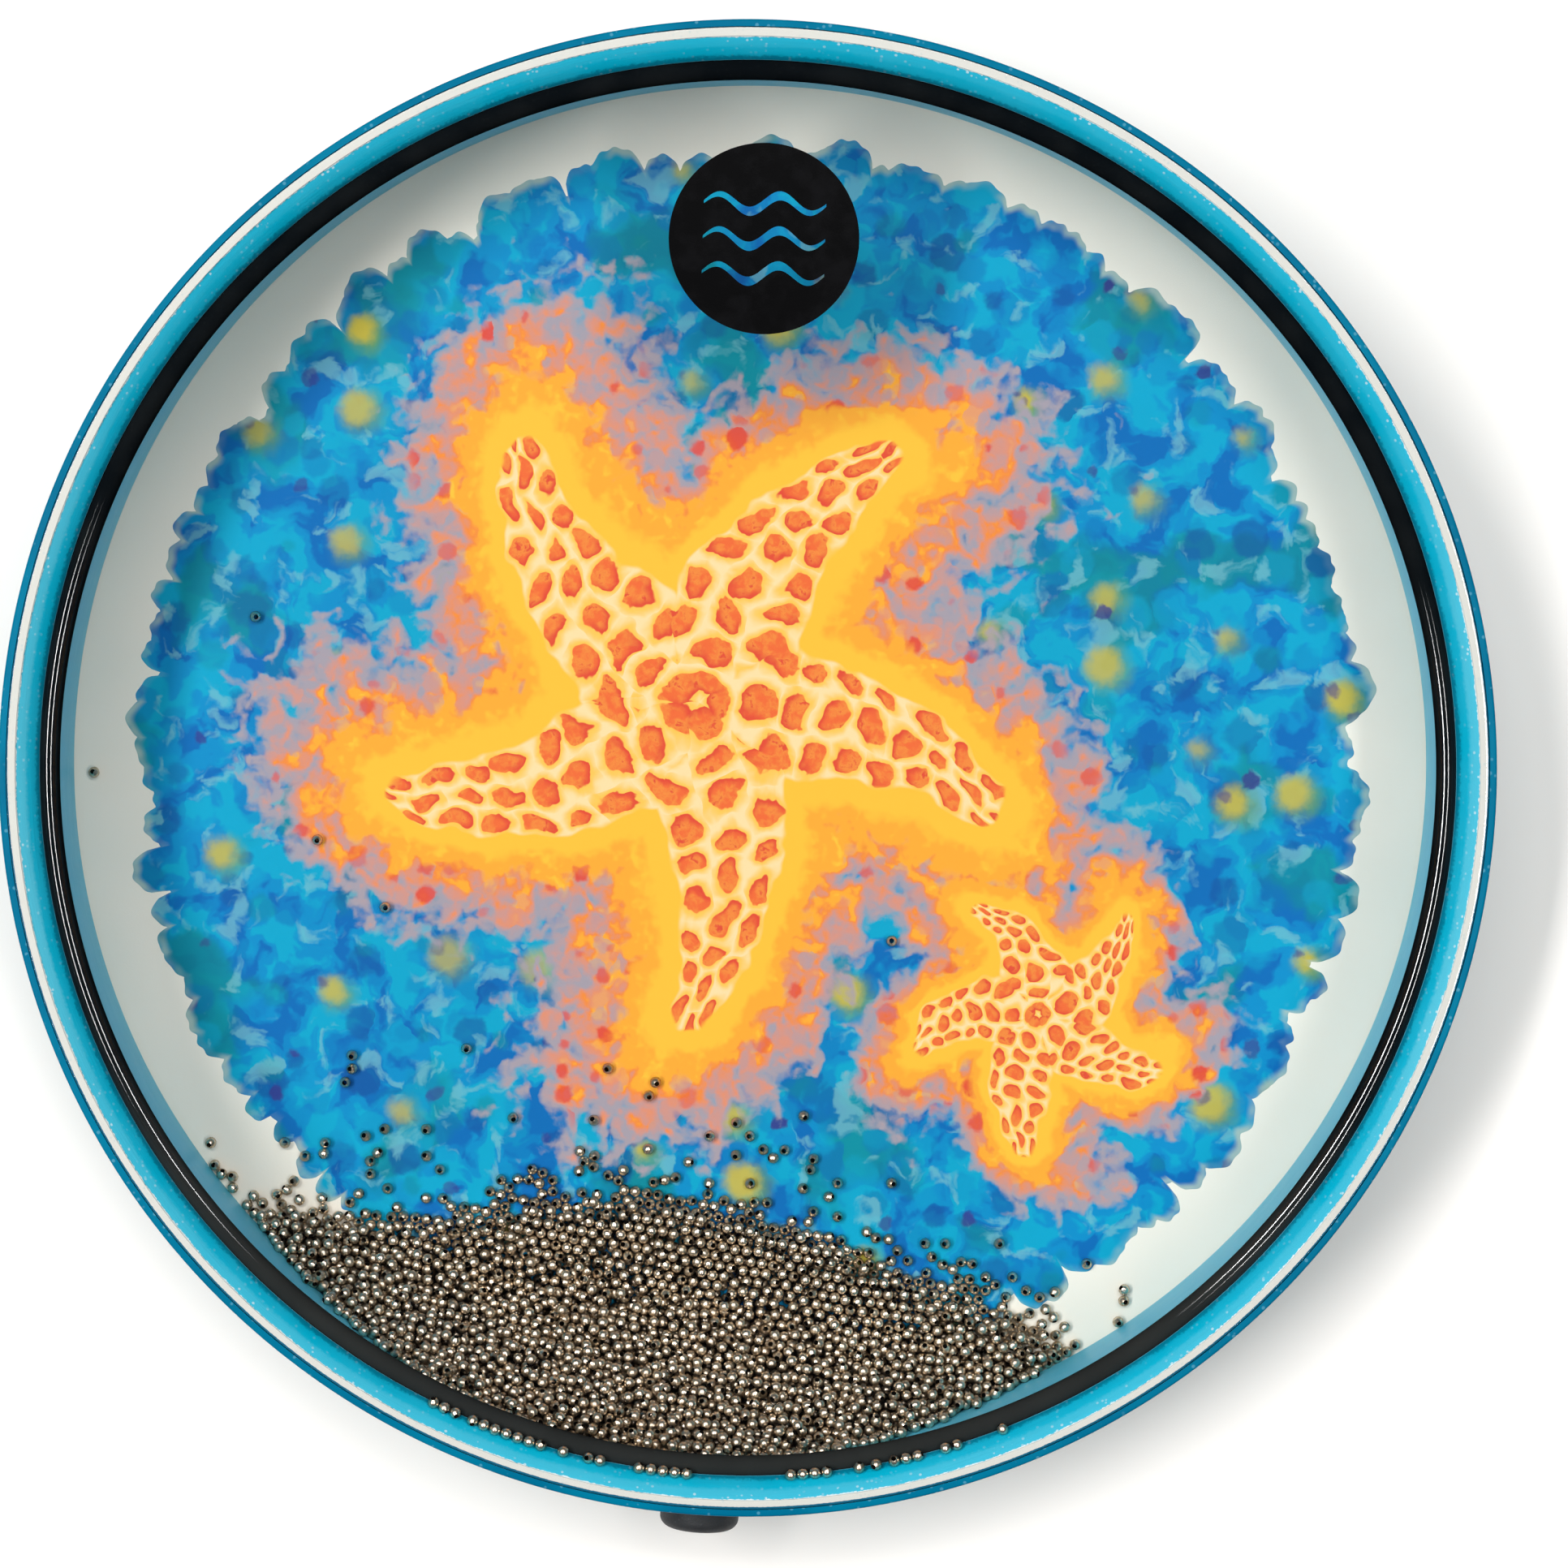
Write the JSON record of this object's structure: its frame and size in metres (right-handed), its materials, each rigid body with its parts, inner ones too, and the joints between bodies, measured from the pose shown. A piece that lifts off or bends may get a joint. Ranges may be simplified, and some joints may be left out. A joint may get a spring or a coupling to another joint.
{
  "type": "ocean drum",
  "caption": "Shallow round drum with a clear front head and a printed rear head, holding loose drilled steel beads that roll over the head to sound like surf.",
  "frame": {"origin": "centre of the rear head's outer face, on the drum's axis", "axes": "+Z along the drum's axis from the rear head to the clear front head, -Y towards the stopper in the shell's side"},
  "size_m": [0.4064, 0.4161, 0.0636],
  "materials": {
    "shell_paint": "turned wood ring with turquoise paint, satin",
    "bedding_tape": "cream bedding tape, matte",
    "clear_film": "clear polyester film, glossy",
    "milky_film": "milky polyester film, satin",
    "print_ink": "screen printed watercolour field in blues with a warm motif",
    "badge_ink": "black printed decal",
    "hoop_plastic": "blue trim band, semi-gloss",
    "cord_rubber": "black rubber cord, glossy",
    "stopper_rubber": "black rubber, matte",
    "bead_steel": "tumbled steel with a warm grey tint, polished"
  },
  "bodies": {
    "drum": {"shell": "shell_paint", "front_bedding": "bedding_tape", "rear_bedding": "bedding_tape", "front_head": "clear_film", "front_collar": "clear_film", "rear_head": "milky_film", "rear_collar": "milky_film", "head_print": "print_ink", "badge": "badge_ink", "front_hoop": "hoop_plastic", "rear_hoop": "hoop_plastic", "rim_cord": "cord_rubber"},
    "stopper": {"stopper": "stopper_rubber"},
    "bead_pile": {"bead_core": "bead_steel", "bead_layer_low": "bead_steel", "bead_layer_mid": "bead_steel", "bead_layer_top": "bead_steel", "loose_beads": "bead_steel"},
    "groove_row": {"groove_beads": "bead_steel"}
  },
  "joints": [
    {"name": "stopper_pull", "type": "slide", "parent": "drum", "child": "stopper", "axis": [0, -1, 0], "range_m": [0, 0.024]},
    {"name": "pile_roll", "type": "hinge", "parent": "drum", "child": "bead_pile", "pos_m": [0, 0, 0], "axis": [0, 0, 1], "continuous": true},
    {"name": "groove_roll", "type": "hinge", "parent": "drum", "child": "groove_row", "pos_m": [0, 0, 0], "axis": [0, 0, 1], "continuous": true}
  ]
}
